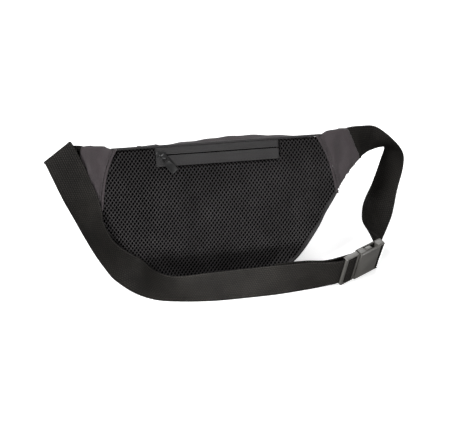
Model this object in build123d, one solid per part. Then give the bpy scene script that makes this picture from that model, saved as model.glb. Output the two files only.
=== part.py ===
import os
from math import cos, radians, sin

from build123d import *

# A waist pack leaning on its flat base, with its buckled belt looped in front of the back panel.
# Millimetres. The bag is drawn upright (X across, Y towards its front, Z up) and then leaned back.

# ---- driving sizes -------------------------------------------------------------------------
LEAN = 30.0  # how far the bag leans back from upright, in degrees
BASE_LIFT = 4.0  # height of the upright drawing's origin above the floor
FRAME_CENTRE = (14.5, 56.7, 0.0)  # the middle of the pack's box, taken to the origin

PANEL_TOP_HALF = 115.0
PANEL_TOP = 155.0
PANEL_SEAM_HALF = 131.0
PANEL_SEAM_HEIGHT = 94.0
PANEL_BOTTOM = 3.4
LEFT_FULLNESS = 16.0  # how much fuller the slumped lower left side is, at the back panel
MESH_THICK = 3.0
FOAM_THICK = 5.0
BODY_BACK = 8.6
BODY_FRONT = 76.0
FRONT_TOP_HALF = 96.0
FRONT_TOP = 144.0
FRONT_SEAM_HALF = 106.0
FRONT_SEAM_HEIGHT = 102.0
FRONT_BOTTOM = 41.4
CLOTH = 2.0
LINING = 1.0
GAP = 0.3

BINDING_WIDTH = 2.0
BINDING_DEPTH = 8.5
WING_THICK = 7.0
WING_SHOULDER = (132.0, 163.0)
WING_TOP = (147.5, 163.4)
WING_END = (160.3, 127.8)
WING_UNDER = (141.0, 105.8)

WEB_WIDTH = 38.0
WEB_THICK = 1.6

REAR_ZIP_HEIGHT = 146.2
REAR_ZIP_HALF = 68.0
REAR_STRIP_DROP = 12.4
MAIN_ZIP_HALF = 92.0
POCKET_ZIP_HALF = 50.0
POCKET_ZIP_HEIGHT = 108.0
POCKET_DEPTH = 11.0
TAPE_THICK = 1.0
TAPE_GAP = 1.2
TAPE_WIDTH = 8.0

SLIDER_LENGTH = 11.0
SLIDER_WIDTH = 8.0
CROWN_LENGTH = 4.6
PULL_LENGTH = 24.0
PULL_WIDTH = 8.6
PULL_THICK = 1.6
PULL_AXIS_HEIGHT = 2.75

BUCKLE_CORNER = (123.5, -15.5, 1.4)
BUCKLE_TURN = 30.0
BUCKLE_TILT = 12.0  # how far its upper side leans out, away from the bag
BUCKLE_HEIGHT = 42.0
SOCKET_START = 20.2
SOCKET_END = 55.2
SOCKET_THICK = 11.0
FRAME_THICK = 6.0
PLUG_END = 19.6

os.makedirs("parts", exist_ok=True)


# ---- frames --------------------------------------------------------------------------------
CENTRED = Location((-FRAME_CENTRE[0], -FRAME_CENTRE[1], -FRAME_CENTRE[2]))
LEANED = Location((0, 0, BASE_LIFT), (-LEAN, 0, 0))
BUCKLE_FRAME = Location(BUCKLE_CORNER, (0, 0, BUCKLE_TURN)) * Location((0, 0, 0), (BUCKLE_TILT, 0, 0))


def save(name, pieces, place=Location()):
    """Write one named piece, or several identical loose ones, in the shared frame."""
    solids = [s for piece in pieces for s in piece.solids()]
    moved = [CENTRED * place * s for s in solids]
    export_step(Compound(children=moved), f"parts/{name}.step")


def slab(face, start, end):
    """A face drawn in X and height, made solid between two depths."""
    front = Plane(origin=(0, start, 0), x_dir=(1, 0, 0), z_dir=(0, -1, 0))
    return extrude(front * face, amount=end - start, dir=(0, 1, 0))


def block(x, y, z):
    """A box from three (low, high) pairs."""
    size = [high - low for low, high in (x, y, z)]
    middle = [(high + low) / 2 for low, high in (x, y, z)]
    return Pos(*middle) * Box(*size)


# ---- the bag's outline ---------------------------------------------------------------------
def outline(depth, grow=0.0):
    """The bag's closed outline at a depth: straight top, curved seams and a smiling lower edge."""
    share = (depth - BODY_BACK) / (BODY_FRONT - BODY_BACK)

    def between(back, front):
        return back + share * (front - back)

    top_half = between(PANEL_TOP_HALF, FRONT_TOP_HALF) + grow
    seam_half = between(PANEL_SEAM_HALF, FRONT_SEAM_HALF) + grow
    top = between(PANEL_TOP, FRONT_TOP) + grow
    seam = between(PANEL_SEAM_HEIGHT, FRONT_SEAM_HEIGHT)
    bottom = between(PANEL_BOTTOM, FRONT_BOTTOM) - grow
    rise = seam - bottom
    full = LEFT_FULLNESS * (1 - share)
    lower = [
        (1.000, 1.000, 0.0),
        (0.885, 0.757, 1.0),
        (0.775, 0.500, 0.88),
        (0.575, 0.170, 0.2),
        (0.300, 0.000, 0.0),
    ]
    right = [(wide * seam_half, bottom + high * rise) for wide, high, _ in lower]
    left = [(-wide * seam_half - add * full, bottom + high * rise) for wide, high, add in lower[::-1]]
    bend = ((top_half + seam_half) / 2 + 3.5, (top + seam) / 2)
    edges = [
        Line((-top_half, top), (top_half, top)),
        ThreePointArc((top_half, top), bend, (seam_half, seam)),
        Spline(right + [(0, bottom)] + left),
        ThreePointArc((-seam_half, seam), (-bend[0], bend[1]), (-top_half, top)),
    ]
    return make_face(edges)


def body_block(grow, start, end):
    """The whole bag body between two depths, as one block."""
    faces = []
    for depth in (start, end):
        plane = Plane(origin=(0, depth, 0), x_dir=(1, 0, 0), z_dir=(0, -1, 0))
        faces.append(plane * outline(depth, grow))
    return loft(faces, ruled=True)


# ---- back panel ----------------------------------------------------------------------------
def rear_window(grow, top):
    """The opening in the back panel that the rear zip fills."""
    low = REAR_ZIP_HEIGHT - REAR_STRIP_DROP - grow
    half = REAR_ZIP_HALF + grow
    return block((-half, half), (-5, 20), (low, top))


def mesh_panel():
    panel = slab(outline(BODY_BACK), 0, MESH_THICK)
    return panel - rear_window(0.3, PANEL_TOP + 10)


def foam_pad():
    start = MESH_THICK + GAP
    pad = slab(outline(BODY_BACK, -1.5), start, start + FOAM_THICK - 0.3)
    return pad - block((-74, 74), (0, 20), (REAR_ZIP_HEIGHT - 5, REAR_ZIP_HEIGHT + 5))


def edge_binding():
    outer = slab(outline(BODY_BACK, GAP + BINDING_WIDTH), -0.2, BINDING_DEPTH - 0.2)
    inner = slab(outline(BODY_BACK, GAP), -1, BINDING_DEPTH + 1)
    return outer - inner


def wing(side, belt):
    """A padded wing: a tapering plate from the seam out to the webbing, slotted for the belt."""
    start = (PANEL_TOP_HALF - 4, PANEL_TOP - 2)
    low = (PANEL_SEAM_HALF - 3, PANEL_SEAM_HEIGHT - 1)
    corners = [
        start,
        (PANEL_TOP_HALF, PANEL_TOP + GAP),
        WING_SHOULDER,
        WING_TOP,
        WING_END,
        WING_UNDER,
        low,
    ]
    plate = slab(make_face(Polyline([(side * x, z) for x, z in corners], close=True)), 0, WING_THICK)
    seam = slab(outline(BODY_BACK, GAP + BINDING_WIDTH + GAP), -1, WING_THICK + 1)
    return plate - seam - LEANED.inverse() * belt


# ---- body ----------------------------------------------------------------------------------
def side_gusset():
    """The band round the sides and bottom, open along the top."""
    outer = body_block(0, BODY_BACK, BODY_FRONT)
    hollow = body_block(-CLOTH, BODY_BACK - 2, BODY_FRONT + 2)
    return outer - hollow - top_plate(-8, 20, CLOTH, BODY_BACK - 2, BODY_FRONT + 2)


def top_plate(lift, thick, trim, start, end):
    """A thin plate lying along the body's top, between two depths."""
    faces = []
    for depth in (start, end):
        share = (depth - BODY_BACK) / (BODY_FRONT - BODY_BACK)
        half = PANEL_TOP_HALF + share * (FRONT_TOP_HALF - PANEL_TOP_HALF) - trim
        low = PANEL_TOP + share * (FRONT_TOP - PANEL_TOP) + lift
        corners = [(-half, low), (half, low), (half, low + thick), (-half, low + thick)]
        plane = Plane(origin=(0, depth, 0), x_dir=(1, 0, 0), z_dir=(0, -1, 0))
        faces.append(plane * make_face(Polyline(corners, close=True)))
    return loft(faces, ruled=True)


TOP_SLOPE = (PANEL_TOP - FRONT_TOP) / (BODY_FRONT - BODY_BACK)
TOP_MIDDLE = (BODY_BACK + BODY_FRONT) / 2
TOP_NORMAL = (0, TOP_SLOPE, 1)
TOP_FRAME = Plane(
    origin=(0, TOP_MIDDLE, (PANEL_TOP + FRONT_TOP) / 2 + GAP + CLOTH),
    x_dir=(1, 0, 0),
    z_dir=TOP_NORMAL,
).location
REAR_FRAME = Plane(origin=(0, 0.6, REAR_ZIP_HEIGHT), x_dir=(1, 0, 0), z_dir=(0, -1, 0)).location
POCKET_FACE = BODY_FRONT + GAP + CLOTH + GAP + POCKET_DEPTH
POCKET_FRAME = Plane(
    origin=(0, POCKET_FACE, POCKET_ZIP_HEIGHT), x_dir=(-1, 0, 0), z_dir=(0, 1, 0)
).location


def zip_slot(half):
    """What a zip with plain tapes takes out of the fabric it is sewn into."""
    reach = TAPE_WIDTH + GAP
    return block((-half - 3, half + 3), (-reach, reach), (-6, 3))


def top_gusset():
    plate = top_plate(GAP, CLOTH, 0, BODY_BACK, BODY_FRONT)
    return plate - TOP_FRAME * zip_slot(MAIN_ZIP_HALF)


def front_panel():
    start = BODY_FRONT + GAP
    return slab(outline(BODY_FRONT), start, start + CLOTH)


def rear_pouch():
    """The thin bag behind the rear zip."""
    outer = block((-70, 70), (BODY_BACK, BODY_BACK + 7), (58, 152))
    hollow = block((-69, 69), (BODY_BACK + 1, BODY_BACK + 6), (59, 151))
    mouth = block((-67, 67), (0, BODY_BACK + 2), (REAR_ZIP_HEIGHT - 4, REAR_ZIP_HEIGHT + 4))
    return outer - hollow - mouth


def lining():
    """The main compartment's lining, open under the top zip."""
    start = BODY_BACK + 7 + GAP
    outer = body_block(-CLOTH - GAP, start, BODY_FRONT - 0.1)
    end = BODY_FRONT - 0.1 - LINING
    hollow = body_block(-CLOTH - GAP - LINING, start + LINING, end)
    return outer - hollow - top_plate(-8, 20, CLOTH + GAP + LINING, start + LINING, end)


def pocket_outline(shrink):
    """The front pocket's outline."""
    top = 118.0 - shrink
    half = 72.0 - shrink
    bottom = 58.0 + shrink
    edges = [
        Line((-half, top), (half, top)),
        Line((half, top), (half, 90)),
        Spline([(half, 90), (0.62 * half, bottom + 4), (0, bottom), (-0.62 * half, bottom + 4), (-half, 90)]),
        Line((-half, 90), (-half, top)),
    ]
    return make_face(edges)


def front_pocket():
    """The pocket's outer shell, sewn on the front panel and slotted for its zip."""
    start = POCKET_FACE - POCKET_DEPTH
    outer = slab(pocket_outline(0), start, POCKET_FACE)
    hollow = slab(pocket_outline(CLOTH), start - 1, POCKET_FACE - CLOTH)
    reach = TAPE_WIDTH - 1
    half = POCKET_ZIP_HALF + 3
    cut = block((-half, half), (-reach - GAP, reach + GAP), (-6, 3))
    return outer - hollow - POCKET_FRAME * cut


# ---- zips ----------------------------------------------------------------------------------
# A zip is drawn with X along it, Y across and Z out of the fabric; Z is 0 on the tapes' face.
def zip_tape(half, near, far):
    return block((-half, half), (min(near, far), max(near, far)), (-TAPE_THICK, 0))


def zip_coils(half):
    rows = []
    for side in (-1, 1):
        inner, outer = side * 0.55, side * 2.1
        rows.append(block((-half, half), (min(inner, outer), max(inner, outer)), (-2.8, -1.3)))
    return rows


def zip_stops(half):
    return [block((x - 0.8, x + 0.8), (-2.1, 2.1), (-2.8, -1.3)) for x in (-half, half)]


def zip_slider():
    """Two plates joined by a neck, with an arched crown on the outer one."""
    outer = Rectangle(SLIDER_LENGTH, SLIDER_WIDTH)
    outer = fillet(outer.vertices(), 2.4)
    inner = fillet(Rectangle(SLIDER_LENGTH - 1, SLIDER_WIDTH - 1).vertices(), 2.0)
    plates = extrude(Pos(0, 0, 0.4) * outer, 1.1) + extrude(Pos(0, 0, -4.1) * inner, 1.0)
    neck = block((-1.6, 1.6), (-0.35, 0.35), (-3.2, 0.5))
    crown = block((-CROWN_LENGTH / 2, CROWN_LENGTH / 2), (-0.4, 0.4), (1.4, 4.9))
    arch = block((-1.5, 1.5), (-1, 1), (1.5, 4.0))
    return plates + neck + (crown - arch)


def zip_pull(turn):
    """A moulded loop: its round end bar passes under the crown and its grip has a raised rim."""
    half = PULL_WIDTH / 2
    end = PULL_LENGTH - 0.45
    outer = Pos((end - 0.45) / 2, 0) * Rectangle(PULL_LENGTH, PULL_WIDTH)
    outer = fillet(outer.vertices(), 1.7)
    slot = Pos(3.45, 0) * Rectangle(9.0, 4.8)
    slot = fillet(slot.vertices(), 0.5)
    loop = extrude(Pos(0, 0, -PULL_THICK / 2) * outer, PULL_THICK)
    loop = loop - extrude(Pos(0, 0, -PULL_THICK) * slot, 2 * PULL_THICK)
    loop = loop + Rot(90, 0, 0) * Cylinder(0.45, 5.4)
    for height in (PULL_THICK / 2, -PULL_THICK / 2):
        loop = loop - block((9.4, end - 1.5), (1.4 - half, half - 1.4), (height - 0.4, height + 0.4))
    return Location((0, 0, PULL_AXIS_HEIGHT), (0, 0, turn)) * loop


def save_zip(name, frame, half, lower, upper, parked, turn):
    """Every piece of one zip; parked is where the slider rests along it."""
    place = LEANED * frame
    save(f"{name}_zip_tape_lower", [zip_tape(half, -TAPE_GAP / 2, -lower)], place)
    save(f"{name}_zip_tape_upper", [zip_tape(half, TAPE_GAP / 2, upper)], place)
    save(f"{name}_zip_coils", zip_coils(half - 2.2), place)
    save(f"{name}_zip_stops", zip_stops(half - 1.2), place)
    save(f"{name}_zip_slider", [zip_slider()], place * Location((parked, 0, 0)))
    save(f"{name}_zip_pull", [zip_pull(turn)], place * Location((parked, 0, 0)))


# ---- belt ----------------------------------------------------------------------------------
# The belt is a ribbon ruled between its two edges: each ruling is (edge, edge).
def in_buckle(along, out, up):
    """A point given along the buckle, out of its face and up from its lower side."""
    turn = radians(BUCKLE_TURN)
    tilt = radians(BUCKLE_TILT)
    reach = out * cos(tilt) + up * sin(tilt)
    x = BUCKLE_CORNER[0] + along * cos(turn) + reach * sin(turn)
    y = BUCKLE_CORNER[1] + along * sin(turn) - reach * cos(turn)
    return (x, y, BUCKLE_CORNER[2] + up * cos(tilt) - out * sin(tilt))


WEB_LOW = (BUCKLE_HEIGHT - WEB_WIDTH) / 2
WEB_HIGH = WEB_LOW + WEB_WIDTH

# Through the plug's ladder: in behind the first bar, over the centre bar and back as the tail.
LADDER = [
    (13.2, -3.6),
    (14.7, -2.6),
    (15.0, -0.6),
    (14.8, 1.4),
    (13.8, 2.8),
    (8.2, 2.9),
    (7.0, 2.1),
    (5.4, 0.3),
    (3.8, -0.7),
    (0.0, -0.8),
    (-5.0, -1.2),
]
TAIL = [
    ((52, -21.0, 1.0), (52, -16.0, 38.3)),
    ((84, -16.8, 1.1), (84, -15.4, 38.6)),
    ((107, -13.8, 1.8), (109, -18.4, 39.2)),
]
BELT_FRONT = [
    ((105, -17.2, 1.2), (107, -21.8, 38.8)),
    ((88, -19.6, 0.6), (88, -18.8, 38.3)),
    ((53, -23.6, 0.5), (53, -18.8, 38.1)),
    ((16, -25.2, 0.5), (16, -20.2, 38.2)),
    ((-21, -25.3, 0.5), (-21, -22.3, 38.4)),
    ((-57, -21.0, 0.5), (-57.5, -24.0, 38.4)),
    ((-81, -15.0, 0.6), (-78, -12.4, 38.4)),
    ((-102, -2.7, 2.0), (-89, 8.8, 35.9)),
    ((-121, 8, 12), (-95, 13, 39.4)),
    ((-129, 13.6, 19.6), (-103.4, 9.8, 47.7)),
    ((-141.6, 27.5, 35), (-121, 13.5, 64)),
    ((-152.7, 42.5, 51), (-130.2, 29.1, 78.5)),
    ((-158, 49.6, 59.3), (-130.5, 38.5, 83)),
    ((-163, 53.6, 69.8), (-132, 45.5, 90)),
    ((-168, 55.5, 81.5), (-135, 50, 100.5)),
    ((-172.5, 57.4, 92.4), (-139, 56.5, 110.5)),
    ((-181, 65.5, 113), (-147.5, 67.5, 131.5)),
    ((-187.5, 74, 127.5), (-157, 80, 149)),
    ((-189.5, 79, 128), (-159.5, 85.5, 148.0)),
    ((-186.5, 80.5, 123), (-157.5, 87, 143.0)),
]
WING_LEFT = [
    ((-160.8, 68.6, 111), (-147.2, 86.2, 141.8)),
    ((-147.0, 65.7, 106.4), (-133.4, 83.3, 137.1)),
]
WING_RIGHT = [
    ((147.0, 65.7, 106.4), (133.4, 83.3, 137.1)),
    ((160.8, 68.6, 111), (147.2, 86.2, 141.8)),
]
BELT_SIDE = [
    ((164, 84, 101), (165, 97, 136)),
    ((172, 101, 94), (185, 105, 129)),
    ((185, 118, 89), (203, 98.5, 116.5)),
    ((204, 127, 87), (216.5, 93.5, 99)),
    ((199, 120, 72), (217.5, 88, 82)),
    ((188, 107, 50.5), (210, 77.5, 57)),
    ((177, 93, 38.5), (204.5, 68.5, 31.5)),
    ((168.5, 72, 38.5), (197.5, 60.5, 17.5)),
    ((164.0, 50, 38), (188, 46.5, 9)),
    ((166.0, 32, 39.3), (181, 31, 5.6)),
    ((172.0, 18, 40.3), (177.5, 21, 4.2)),
]
# Round the socket's end bar: past its outer side, back through the slot, and sewn down.
BAR_LOOP = [
    (56.4, 1.4),
    (55.4, 2.5),
    (53.7, 3.0),
    (52.0, 2.2),
    (51.2, 0.6),
    (51.3, -1.2),
    (52.2, -3.4),
    (54.0, -7.0),
]


def smoothed(rulings, steps):
    """Extra rulings between the given ones, on a smooth curve through them."""
    rows = [[Vector(*p) for p in ruling] for ruling in rulings]
    first = [a * 2 - b for a, b in zip(rows[0], rows[1])]
    last = [a * 2 - b for a, b in zip(rows[-1], rows[-2])]
    rows = [first] + rows + [last]
    out = []
    for before, start, end, after in zip(rows, rows[1:], rows[2:], rows[3:]):
        for step in range(steps):
            t = step / steps
            ruling = []
            for a, b, c, d in zip(before, start, end, after):
                ruling.append(
                    (
                        b * 2
                        + (c - a) * t
                        + (a * 2 - b * 5 + c * 4 - d) * t**2
                        + (b * 3 - a - c * 3 + d) * t**3
                    )
                    * 0.5
                )
            out.append(ruling)
    return out + [rows[-2]]


def ribbon(rulings, thick=WEB_THICK, widen=0.0):
    """A strap of even thickness over a row of rulings."""
    middles = [(a + b) * 0.5 for a, b in rulings]
    wires = []
    for i, (a, b) in enumerate(rulings):
        run = middles[min(i + 1, len(middles) - 1)] - middles[max(i - 1, 0)]
        across = (b - a).normalized()
        side = run.cross(across).normalized() * (thick / 2)
        low = a - across * widen
        high = b + across * widen
        corners = [low + side, high + side, high - side, low - side]
        wires.append(Wire.make_polygon(corners, close=True))
    return Solid.make_loft(wires, ruled=True)


def on_buckle(points):
    """Upright rulings from (along, out) points in the buckle's frame."""
    return [(in_buckle(u, n, WEB_LOW), in_buckle(u, n, WEB_HIGH)) for u, n in points]


def belt_left_rulings():
    ladder = on_buckle(LADDER)
    return smoothed(TAIL + ladder + BELT_FRONT + WING_LEFT, 2)


def belt_right_rulings():
    bar = [(high, low) for low, high in on_buckle(BAR_LOOP)]
    return smoothed(WING_RIGHT + BELT_SIDE + bar, 2)


# ---- buckle --------------------------------------------------------------------------------
# Drawn with X along it, Z up its width, and its outer face towards -Y.
def plug():
    """The ladder frame that the belt is threaded through, with its guide tongue."""
    half = FRAME_THICK / 2
    low, high = WEB_LOW - 0.8, WEB_HIGH + 0.8
    frame = block((0, PLUG_END), (-half, half), (0, BUCKLE_HEIGHT))
    frame = fillet(frame.edges().filter_by(Axis.Y), 2.0)
    frame = frame - block((3.4, 16.6), (-half - 1, half + 1), (low, high))
    frame = frame - block((-1, 5), (-0.4, half + 1), (low, high))
    centre = block((8.2, 12.8), (-1.6, 1.4), (1.0, BUCKLE_HEIGHT - 1.0))
    middle = BUCKLE_HEIGHT / 2
    tongue = block((PLUG_END - 1, 44.0), (-2.0, 2.0), (middle - 3.5, middle + 3.5))
    return frame + centre + tongue


def prong(side):
    """A sprung arm with its hooked button, in the plug's frame."""
    middle = BUCKLE_HEIGHT / 2
    outline_points = [
        (PLUG_END + 0.2, 9.5),
        (PLUG_END + 0.2, 13.0),
        (28.4, 14.6),
        (28.6, 19.6),
        (31.0, 20.6),
        (38.0, 20.2),
        (43.0, 15.2),
        (44.6, 11.5),
        (41.5, 10.5),
        (31.0, 12.0),
    ]
    points = [(x, middle + side * z) for x, z in outline_points]
    face = Plane(origin=(0, 2.6, 0), x_dir=(1, 0, 0), z_dir=(0, -1, 0)) * make_face(
        Polyline(points, close=True)
    )
    return extrude(face, amount=5.2)


def socket():
    """The female half: a flat sleeve with side windows, a belt slot and an end bar."""
    half = SOCKET_THICK / 2
    middle = BUCKLE_HEIGHT / 2
    body = block((SOCKET_START, SOCKET_END), (-half, half), (0, BUCKLE_HEIGHT))
    body = fillet(body.edges().filter_by(Axis.X), 3.0)
    body = body - block((SOCKET_START - 1, 46.2), (-3.2, 3.2), (4.2, BUCKLE_HEIGHT - 4.2))
    for side in (-1, 1):
        z = sorted((middle + side * 16.0, middle + side * 25.0))
        body = body - block((28.0, 46.2), (-3.2, 3.2), z)
    low, high = WEB_LOW - 0.8, WEB_HIGH + 0.8
    body = body - block((48.8, 52.6), (-half - 1, half + 1), (low, high))
    for face in (-1, 1):
        y = sorted((face * 1.2, face * (half + 1)))
        body = body - block((52.0, SOCKET_END + 1), y, (low, high))
    return body


# ---- write every piece ---------------------------------------------------------------------
left_rulings = belt_left_rulings()
right_rulings = belt_right_rulings()
wing_left_slot = ribbon(left_rulings[-6:], WEB_THICK + 0.8, 0.4)
wing_right_slot = ribbon(right_rulings[:6], WEB_THICK + 0.8, 0.4)

save("back_mesh_panel", [mesh_panel()], LEANED)
save("back_foam_pad", [foam_pad()], LEANED)
save("edge_binding", [edge_binding()], LEANED)
save("wing_left", [wing(-1, wing_left_slot)], LEANED)
save("wing_right", [wing(1, wing_right_slot)], LEANED)
save("side_gusset", [side_gusset()], LEANED)
save("top_gusset", [top_gusset()], LEANED)
save("front_panel", [front_panel()], LEANED)
save("front_pocket", [front_pocket()], LEANED)
save("rear_pocket_pouch", [rear_pouch()], LEANED)
save("main_lining", [lining()], LEANED)

save_zip("rear", REAR_FRAME, REAR_ZIP_HALF, REAR_STRIP_DROP, TAPE_WIDTH + 0.5, -62.0, -53.0)
save_zip("main", TOP_FRAME, MAIN_ZIP_HALF, TAPE_WIDTH, TAPE_WIDTH, -84.0, -30.0)
save_zip("pocket", POCKET_FRAME, POCKET_ZIP_HALF, TAPE_WIDTH - 1, TAPE_WIDTH - 1, -42.0, -30.0)

save("belt_left", [ribbon(left_rulings[::-1])])  # lofted from the wing end to its tail
save("belt_right", [ribbon(right_rulings)])
save("buckle_plug", [plug()], BUCKLE_FRAME)
save("buckle_prong_lower", [prong(-1)], BUCKLE_FRAME)
save("buckle_prong_upper", [prong(1)], BUCKLE_FRAME)
save("buckle_socket", [socket()], BUCKLE_FRAME)
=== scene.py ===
from math import cos, exp, pi, radians, sin, sqrt

import bmesh
import bpy
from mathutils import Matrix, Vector, noise


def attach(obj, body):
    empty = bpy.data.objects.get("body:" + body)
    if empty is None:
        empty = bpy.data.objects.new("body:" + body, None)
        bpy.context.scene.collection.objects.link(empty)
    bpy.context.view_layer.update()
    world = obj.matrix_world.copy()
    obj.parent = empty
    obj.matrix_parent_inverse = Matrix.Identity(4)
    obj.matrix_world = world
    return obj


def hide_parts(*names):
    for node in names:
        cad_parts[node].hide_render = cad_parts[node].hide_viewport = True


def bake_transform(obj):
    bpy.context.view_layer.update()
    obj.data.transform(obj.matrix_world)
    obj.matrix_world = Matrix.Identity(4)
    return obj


# A waist pack leaning on its base with its buckled belt looped in front.
# Lengths are millimetres in the bag's upright drawing and metres in Blender.

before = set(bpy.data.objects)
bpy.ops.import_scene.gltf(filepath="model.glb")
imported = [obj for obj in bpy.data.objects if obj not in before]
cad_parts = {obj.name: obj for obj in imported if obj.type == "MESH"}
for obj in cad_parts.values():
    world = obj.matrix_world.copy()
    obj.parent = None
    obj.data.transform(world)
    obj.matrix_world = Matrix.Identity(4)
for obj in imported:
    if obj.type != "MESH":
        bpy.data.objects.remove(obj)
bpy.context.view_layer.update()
scene = bpy.context.scene

# ---- driving sizes -------------------------------------------------------------------------
MM = 0.001
LEAN = radians(30.0)
BASE_LIFT = 4.0
CENTRE = (14.5, 56.7)

BACK_DEPTH = 8.6
FRONT_DEPTH = 76.0
PANEL = {"top_half": 115.0, "top": 155.0, "seam_half": 131.0, "seam": 94.0, "bottom": 3.4, "full": 16.0}
FRONT = {"top_half": 96.0, "top": 144.0, "seam_half": 106.0, "seam": 102.0, "bottom": 41.4, "full": 0.0}
LOWER_EDGE = [(1.0, 1.0, 0.0), (0.885, 0.757, 1.0), (0.775, 0.5, 0.88), (0.575, 0.17, 0.2), (0.3, 0.0, 0.0)]
TOP_SLOPE = (PANEL["top"] - FRONT["top"]) / (FRONT_DEPTH - BACK_DEPTH)

WINDOW_HALF = 68.3
WINDOW_LOW = 133.5
TOP_PUFF = 5.5
HOLE_PITCH = 4.1
HOLE_ROW = 2.72
YARN_WIDTH = 0.40
HOLE_DEPTH = 2.6
PANEL_BULGE = 6.0
PANEL_TUCK = 11.0
PANEL_ROLL = 3.0

WEB_WIDTH = 38.0
WEB_THICK = 1.6
WING_THICK = 7.0

REAR_ZIP_HEIGHT = 146.2
REAR_ZIP_HALF = 68.0
MAIN_ZIP_HALF = 92.0
POCKET_ZIP_HALF = 50.0
POCKET_ZIP_HEIGHT = 108.0
POCKET_FACE = 89.6
POCKET_DEPTH = 11.0

BUCKLE_CORNER = (123.5, -15.5, 1.4)
BUCKLE_TURN = radians(30.0)
BUCKLE_TILT = radians(12.0)
BUCKLE_HEIGHT = 42.0

MAIN_SLOT_HALF = 95.3  # half the length of the opening cut in the top for its zip
MAIN_SLOT_REACH = 8.3  # how far that opening reaches to either side of the zip's middle
POCKET_TOP = 118.0
POCKET_LOW = 58.0
POCKET_SHOULDER = 90.0  # where the pocket's straight sides start to curve in
POCKET_HALF = 72.0
POCKET_SLOT = (53.0, 6.6)  # half the length and half the width of the pocket's opening
MESH_CELLS = 96
HALVINGS = 14  # steps in the search for the outline's edge

STITCH_PITCH = 3.4
STITCH_LENGTH = 2.5
THREAD_RADIUS = 0.28


# ---- places --------------------------------------------------------------------------------
def standing(x, y, z):
    """A point beside the bag, in millimetres, as the belt and buckle are drawn."""
    return Vector((x - CENTRE[0], y - CENTRE[1], z)) * MM


def upright(x, depth, height):
    """A point of the upright bag, put where the leaning bag holds it."""
    back = depth * cos(LEAN) + height * sin(LEAN)
    lift = height * cos(LEAN) - depth * sin(LEAN) + BASE_LIFT
    return standing(x, back, lift)


def on_buckle(along, out, up):
    """A point given along the buckle, out of its face and up its width."""
    reach = out * cos(BUCKLE_TILT) + up * sin(BUCKLE_TILT)
    x = BUCKLE_CORNER[0] + along * cos(BUCKLE_TURN) + reach * sin(BUCKLE_TURN)
    y = BUCKLE_CORNER[1] + along * sin(BUCKLE_TURN) - reach * cos(BUCKLE_TURN)
    return (x, y, BUCKLE_CORNER[2] + up * cos(BUCKLE_TILT) - out * sin(BUCKLE_TILT))


def rear_zip(along, across, out):
    return upright(along, 0.6 - out, REAR_ZIP_HEIGHT + across)


def main_zip(along, across, out):
    length = sqrt(1 + TOP_SLOPE**2)
    depth = (BACK_DEPTH + FRONT_DEPTH) / 2 + (across + out * TOP_SLOPE) / length
    height = (PANEL["top"] + FRONT["top"]) / 2 + 2.3 + (out - across * TOP_SLOPE) / length
    return upright(along, depth, height)


def pocket_zip(along, across, out):
    return upright(-along, POCKET_FACE + out, POCKET_ZIP_HEIGHT + across)


def smooth_step(value):
    value = min(1.0, max(0.0, value))
    return value * value * (3 - 2 * value)


def spread(low, high, share):
    return low + (high - low) * share


# ---- curves --------------------------------------------------------------------------------
def through(points, steps):
    """Points on a smooth curve through the given ones, ends included."""
    rows = [Vector(p) for p in points]
    rows = [rows[0] * 2 - rows[1]] + rows + [rows[-1] * 2 - rows[-2]]
    out = []
    for before, start, end, after in zip(rows, rows[1:], rows[2:], rows[3:]):
        for step in range(steps):
            t = step / steps
            linear = (end - before) * t
            square = (before * 2 - start * 5 + end * 4 - after) * t**2
            cube = (start * 3 - before - end * 3 + after) * t**3
            out.append((start * 2 + linear + square + cube) * 0.5)
    return out + [rows[-2]]


def run_lengths(points):
    """How far along a row of points each one is."""
    total = 0.0
    out = [0.0]
    for a, b in zip(points, points[1:]):
        total += (b - a).length
        out.append(total)
    return out


def point_along(points, lengths, share):
    """The point at a share of a row's whole length."""
    wanted = share * lengths[-1]
    for a, b, start, end in zip(points, points[1:], lengths, lengths[1:]):
        if end >= wanted - 1e-9:
            return a.lerp(b, (wanted - start) / max(end - start, 1e-9))
    return points[-1]


def side_edge(sizes, side, grow=0.0):
    """One half of the bag's outline, drawn as if on the right: top corner to the bottom's middle."""
    top_half = sizes["top_half"] + grow
    seam_half = sizes["seam_half"] + grow
    top = sizes["top"] + grow
    seam = sizes["seam"]
    bottom = sizes["bottom"] - grow
    rise = seam - bottom
    full = sizes["full"] if side < 0 else 0.0
    bend = ((top_half + seam_half) / 2 + 3.5, (top + seam) / 2)
    upper = through([(top_half, top), bend, (seam_half, seam)], 8)
    lower = [(wide * seam_half + add * full, bottom + high * rise) for wide, high, add in LOWER_EDGE]
    return upper + through(lower + [(0.0, bottom)], 8)[1:]


def smile(sizes, grow=0.0):
    """The open outline: down the left side, along the lower edge and up the right side."""
    left = [Vector((-p.x, p.y)) for p in side_edge(sizes, -1, grow)]
    return left + side_edge(sizes, 1, grow)[-2::-1]


def both_edges(sizes, grow=0.0):
    return {side: side_edge(sizes, side, grow) for side in (-1, 1)}


PANEL_EDGES = both_edges(PANEL)
FRONT_EDGES = both_edges(FRONT)


def half_width(edges, side, height):
    """How far the outline reaches to one side at a height."""
    edge = edges[1 if side > 0 else -1]
    for above, below in zip(edge, edge[1:]):
        if below.y <= height <= above.y:
            share = (height - below.y) / max(above.y - below.y, 1e-9)
            return spread(below.x, above.x, share)
    return edge[0].x if height > edge[0].y else edge[-2].x


def across_at(edges, u, height, trim=0.0):
    """A place across the outline at a height, from its left edge (0) to its right one (1)."""
    return spread(trim - half_width(edges, -1, height), half_width(edges, 1, height) - trim, u)


def inside_panel(x, height):
    if not PANEL["bottom"] <= height <= PANEL["top"]:
        return False
    return abs(x) <= half_width(PANEL_EDGES, x, height)


def inside_window(x, height):
    return abs(x) < WINDOW_HALF and height > WINDOW_LOW


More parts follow.
